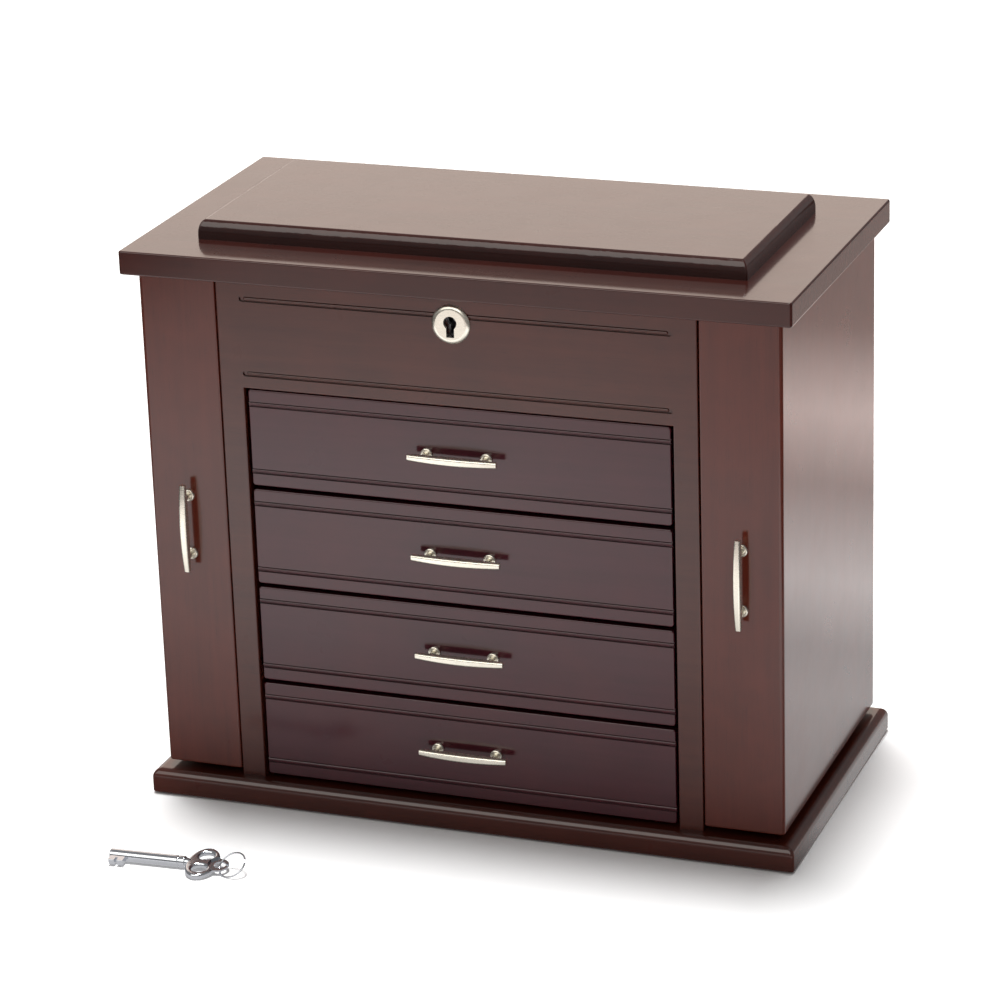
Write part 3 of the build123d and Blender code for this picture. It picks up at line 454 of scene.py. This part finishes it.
def ring_rolls():
    """Twelve foam rolls in velvet covers, with gathered ends and a flat side where they rest."""
    low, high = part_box("ring_rolls")
    pitch = (high.y - low.y - 2.0 * ROLL_MARGIN) / (ROLL_COUNT - 1)
    centre_z = low.z + ROLL_RADIUS - ROLL_SINK
    bm = bmesh.new()
    for number in range(ROLL_COUNT):
        centre_y = low.y + ROLL_MARGIN + pitch * number
        rings = []
        for ring in range(ROLL_RINGS + 1):
            share = 0.5 - 0.5 * math.cos(math.pi * ring / ROLL_RINGS)
            x = low.x + ROLL_END_GAP + (high.x - low.x - 2.0 * ROLL_END_GAP) * share
            inset = max(0.0, 1.0 - min(x - low.x, high.x - x) / ROLL_TUCK)
            size = ROLL_RADIUS * math.sqrt(max(0.0, 1.0 - inset ** ROLL_END_CURVE)) + ROLL_TIP
            size *= 1.0 + 0.02 * noise.noise(Vector((x * 90.0, number * 3.1, 0.0)))
            loop = []
            for step in range(ROLL_SEGMENTS):
                angle = 2.0 * math.pi * step / ROLL_SEGMENTS
                pleat = 1.0 + 0.05 * inset * math.cos(angle * ROLL_SEGMENTS / 2.0)
                z = centre_z + size * pleat * math.sin(angle)
                loop.append(bm.verts.new((x, centre_y + size * pleat * math.cos(angle), max(z, low.z))))
            rings.append(loop)
        for first, second in zip(rings, rings[1:]):
            for step in range(ROLL_SEGMENTS):
                after = (step + 1) % ROLL_SEGMENTS
                bm.faces.new((first[step], first[after], second[after], second[step]))
        bm.faces.new(rings[0])
        bm.faces.new(rings[-1])
    piece = soft_piece("ring_rolls_padded", bm, "carcass", "velvet", "ring_rolls")
    inflate(piece)
    return piece


POUCH_COLUMNS, POUCH_ROWS, POUCH_PLEATS = 170, 26, 17
# In mm: backing to the middle of the box, rear end, width; foot, height, sag of the mouth; standing off.
POUCH_BACK, POUCH_REAR, POUCH_WIDTH = 160.6, -63.0, 128.0
POUCH_FOOT, POUCH_HEIGHT, POUCH_SAG = 24.6, 69.6, 1.2
POUCH_CLEAR, POUCH_FULLNESS = 0.8, 8.6
HEM_RADIUS, HEM_SIDES = 0.9 * MM, 8


def pouch_point(side, across, up):
    """A point of the gathered pouch: sewn down at the foot and sides, held by elastic along the mouth."""
    fade = 1.0 - abs(2.0 * across - 1.0) ** 6
    fullness = POUCH_CLEAR + POUCH_FULLNESS * fade * math.sin(math.pi * (0.06 + 0.62 * up))
    drift = 0.5 * noise.noise(Vector((across * 7.0, up * 1.6, 0.3 * side)))
    gather = fade * (0.45 + 2.6 * abs(up - 0.45) ** 1.2)
    pleat = gather * math.sin(2.0 * math.pi * (POUCH_PLEATS * across + drift))
    sag = POUCH_SAG * math.sin(math.pi * across) * up
    x = side * (POUCH_BACK - fullness - pleat)
    return Vector((x, POUCH_REAR + POUCH_WIDTH * across, POUCH_FOOT + POUCH_HEIGHT * up - sag)) * MM


def pouch(side, name):
    bm = bmesh.new()
    rows = []
    for j in range(POUCH_ROWS + 1):
        row = [pouch_point(side, i / POUCH_COLUMNS, j / POUCH_ROWS) for i in range(POUCH_COLUMNS + 1)]
        rows.append([bm.verts.new(point) for point in row])
    for below, above in zip(rows, rows[1:]):
        for i in range(POUCH_COLUMNS):
            bm.faces.new((below[i], below[i + 1], above[i + 1], above[i]))
    front = soft_piece(f"{name}_wing_pouch_gathered", bm, f"{name}_wing", "satin_cloth", f"{name}_wing_pouch")
    bm = bmesh.new()
    loops = []
    for i in range(POUCH_COLUMNS + 1):
        centre = pouch_point(side, i / POUCH_COLUMNS, 1.0)
        size = HEM_RADIUS * (1.0 + 0.12 * math.sin(i * 1.9))
        spokes = [2.0 * math.pi * k / HEM_SIDES for k in range(HEM_SIDES)]
        loops.append([bm.verts.new(centre + Vector((math.cos(a), 0.0, math.sin(a))) * size) for a in spokes])
    for first, second in zip(loops, loops[1:]):
        for k in range(HEM_SIDES):
            after = (k + 1) % HEM_SIDES
            bm.faces.new((first[k], first[after], second[after], second[k]))
    bm.faces.new(loops[0])
    bm.faces.new(loops[-1])
    hem = soft_piece(f"{name}_wing_pouch_hem", bm, f"{name}_wing", "satin_cloth")


BAY_CATCHES = ((32.0, 48.0), (256.0, 272.0))  # heights left clear for the magnet catches, mm
BAY_FACE, BAY_SKIN = 124.0 * MM, 0.95 * MM
CATCH_REAR, STRIP_LAP = -65.8 * MM, 0.3 * MM


def bay_linings():
    """Velvet in each wing bay, cut round the magnet catches."""
    low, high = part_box("bay_linings")
    gaps = [low.z, *(z * MM for pair in BAY_CATCHES for z in pair), high.z]
    several = []
    for side in (-1, 1):
        inner, outer = sorted((side * BAY_FACE, side * (BAY_FACE + BAY_SKIN)))
        corners = dict(low=(inner, CATCH_REAR, low.z), high=(outer, high.y, high.z))
        several.append(dict(**corners, radius=SHEET_ROLL, crown=[(0, side, BAY_CROWN)]))
        for z0, z1 in zip(gaps[::2], gaps[1::2]):
            corners = dict(low=(inner, low.y, z0), high=(outer, CATCH_REAR + STRIP_LAP, z1))
            several.append(dict(**corners, radius=SHEET_ROLL))
    return slabs("bay_linings_velvet", "carcass", "velvet", "bay_linings", *several)


def soft_goods():
    for number in range(1, 5):
        body = f"drawer_{number}"
        lined_box(f"{body}_lining_velvet", body, f"{body}_lining", CARD_T, DRAWER_PAD_T)
    lined_box("tray_lining_velvet", "carcass", "tray_lining", CARD_T, TRAY_PAD_T)
    tray_dividers()
    ring_rolls()
    bay_linings()
    for side, name in ((-1, "left"), (1, "right")):
        low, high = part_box(f"{name}_wing_lining")
        sheet = dict(low=low, high=high, radius=SHEET_ROLL, crown=[(0, -side, WING_CROWN)])
        slabs(f"{name}_wing_lining_velvet", f"{name}_wing", "velvet", f"{name}_wing_lining", sheet)
        pouch(side, name)
    low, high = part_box("base_felt")
    sheet = dict(low=low, high=high, radius=FELT_ROLL, uneven=FELT_UNEVEN)
    slabs("base_felt_sheet", "carcass", "felt", "base_felt", sheet)


# ---------------------------------------------------------------- stage, light and camera
FLOOR_HALF = 6.0
UNDER_FLOOR = -0.001


def stage_card(name, corners, material, height=0.0):
    mesh = bpy.data.meshes.new(name)
    mesh.from_pydata(corners, [], [(0, 1, 2, 3)])
    mesh.materials.append(material)
    card = bpy.data.objects.new(name, mesh)
    card.location.z = height
    SCENE.collection.objects.link(card)
    return card


def level_card(name, height, material):
    half = FLOOR_HALF
    corners = [(-half, -half, 0), (half, -half, 0), (half, half, 0), (-half, half, 0)]
    return stage_card(name, corners, material, height)


def stage():
    g = Graph("studio_floor")
    cloud = g.noise((3.0, 3.0, 3.0), detail=2.0)
    paper = g.mix(g.remap(cloud, 0.0, 1.0), (1.35, 1.35, 1.35), (1.33, 1.33, 1.33))
    g.link(paper, g.shader.inputs["Base Color"])
    g.constant(Roughness=0.9, Specular_IOR_Level=0.0)
    level_card("floor", 0.0, g.material).visible_glossy = False
    floor_reflection()
    strip_reflection()


def area_light(name, place, aim, size, power, colour):
    data = bpy.data.lights.new(name, "AREA")
    data.shape = "RECTANGLE"
    data.size, data.size_y = size
    data.energy = power
    data.color = colour
    light = bpy.data.objects.new(name, data)
    light.location = place
    light.rotation_euler = (Vector(aim) - Vector(place)).to_track_quat("-Z", "Y").to_euler()
    SCENE.collection.objects.link(light)
    return light


# What the lacquer sees of the floor: metres behind the middle of the box, brightness, warmth.
FLOOR_GLOW = ((-0.98, 0.95, 0.10), (-0.88, 1.25, 0.06), (-0.74, 1.4, 0.05), (-0.60, 1.75, 0.02),
              (-0.46, 1.75, 0.02), (-0.325, 1.55, 0.02), (-0.186, 0.85, 0.02), (-0.114, 0.2, 0.05),
              (-0.09, 0.1, 0.05), (-0.03, 0.6, 0.03), (0.13, 0.85, 0.02), (0.20, 0.8, 0.02),
              (0.30, 1.3, 0.05), (0.46, 0.74, 0.14), (0.60, 1.45, 0.16), (0.78, 0.5, 0.20))
GLOW_RANGE = 2.0
GLOW_REACH = 1.0                              # the tables cover this far each way from the middle, metres
# Metres to the right of the middle, share of the brightness.
FLOOR_SHARES = ((-0.64, 0.12), (-0.52, 1.0), (-0.18, 1.0), (-0.03, 0.82), (0.02, 0.79), (0.06, 0.70),
                (0.12, 0.80), (0.19, 1.0), (0.47, 1.0), (0.57, 0.12))


def glow_colour(level, warmth):
    return tuple(c * level / GLOW_RANGE for c in (1.0, 1.0 - warmth, 1.0 - 1.3 * warmth))


def glow_place(metres):
    return (metres + GLOW_REACH) / (2.0 * GLOW_REACH)


def seen_in_gloss_only(card):
    for ray in ("camera", "diffuse", "shadow", "transmission"):
        setattr(card, f"visible_{ray}", False)


def floor_reflection():
    """A card just under the floor that shows in the gloss of the lacquer and nowhere else."""
    g = Graph("floor_reflection")
    axes = g.node("ShaderNodeSeparateXYZ")
    g.link(g.node("ShaderNodeTexCoord").outputs["Object"], axes.inputs["Vector"])
    depth = g.remap(axes.outputs["Y"], 0.0, 1.0, -GLOW_REACH, GLOW_REACH)
    across = g.remap(axes.outputs["X"], 0.0, 1.0, -GLOW_REACH, GLOW_REACH)
    levels = [(glow_place(y), glow_colour(level, warmth)) for y, level, warmth in FLOOR_GLOW]
    shares = [(glow_place(x), (share, share, share)) for x, share in FLOOR_SHARES]
    glow = g.mix(1.0, g.ramp(depth, levels), g.ramp(across, shares), blend="MULTIPLY")
    g.link(glow, g.shader.inputs["Emission Color"])
    g.constant(Base_Color=(0.0, 0.0, 0.0, 1.0), Emission_Strength=GLOW_RANGE, Specular_IOR_Level=0.0)
    seen_in_gloss_only(level_card("floor_reflection", UNDER_FLOOR, g.material))


STRIP_CORNERS = ((-1.9, -1.9, 1.0), (0.6, -1.9, 1.0), (0.6, -0.9, 2.2), (-1.9, -0.9, 2.2))
STRIP_STRENGTH = 2.4


def strip_reflection():
    """A bright card in front of and above the box, for the glints on the metal and on rounded edges."""
    g = Graph("strip_reflection")
    g.constant(Base_Color=(0.0, 0.0, 0.0, 1.0), Emission_Color=(1.0, 0.98, 0.93, 1.0))
    g.constant(Emission_Strength=STRIP_STRENGTH, Specular_IOR_Level=0.0)
    seen_in_gloss_only(stage_card("strip_reflection", STRIP_CORNERS, g.material))


WORLD_COLOUR, WORLD_STRENGTH = (1.0, 0.98, 0.97, 1.0), 0.26
OVERHEAD_STRENGTH, OVERHEAD_SPREAD, OVERHEAD_AIM = 2.4, 14.0, (0.07, -0.125, -1.0)    # spread in degrees
BACK_WALL = {"place": (-1.5, 2.6, 1.3), "aim": (-0.1, 0.0, 0.3), "size": (2.8, 2.2), "power": 20.5,
             "colour": (1.0, 0.82, 0.70)}


def studio():
    world = bpy.data.worlds.new("studio")
    SCENE.world = world
    world.use_nodes = True
    world.node_tree.nodes["Background"].inputs["Color"].default_value = WORLD_COLOUR
    world.node_tree.nodes["Background"].inputs["Strength"].default_value = WORLD_STRENGTH
    sun = bpy.data.lights.new("overhead_softbox", "SUN")
    sun.energy = OVERHEAD_STRENGTH
    sun.angle = math.radians(OVERHEAD_SPREAD)
    overhead = bpy.data.objects.new("overhead_softbox", sun)
    overhead.rotation_euler = Vector(OVERHEAD_AIM).to_track_quat("-Z", "Y").to_euler()
    SCENE.collection.objects.link(overhead)
    area_light("back_wall", **BACK_WALL)
    SCENE.view_settings.view_transform = "Standard"
    SCENE.view_settings.look = "None"


CAMERA_PLACE = (0.6616, -1.7826, 0.8552)
CAMERA_YAW, CAMERA_PITCH, CAMERA_ROLL = 20.631, -20.342, -1.866   # degrees
CAMERA_LENS, CAMERA_SENSOR = 138.84, 36.0


def camera():
    data = bpy.data.cameras.new("camera")
    data.lens = CAMERA_LENS
    data.sensor_width = CAMERA_SENSOR
    data.clip_start, data.clip_end = 0.05, 50.0
    turn = Matrix.Rotation(math.radians(CAMERA_YAW), 4, "Z")
    tilt = Matrix.Rotation(math.radians(90.0 + CAMERA_PITCH), 4, "X")
    roll = Matrix.Rotation(math.radians(CAMERA_ROLL), 4, "Z")
    made = bpy.data.objects.new("camera", data)
    made.matrix_world = Matrix.Translation(CAMERA_PLACE) @ turn @ tilt @ roll
    SCENE.collection.objects.link(made)
    SCENE.camera = made


dress_cad_nodes()
soft_goods()
stage()
studio()
camera()
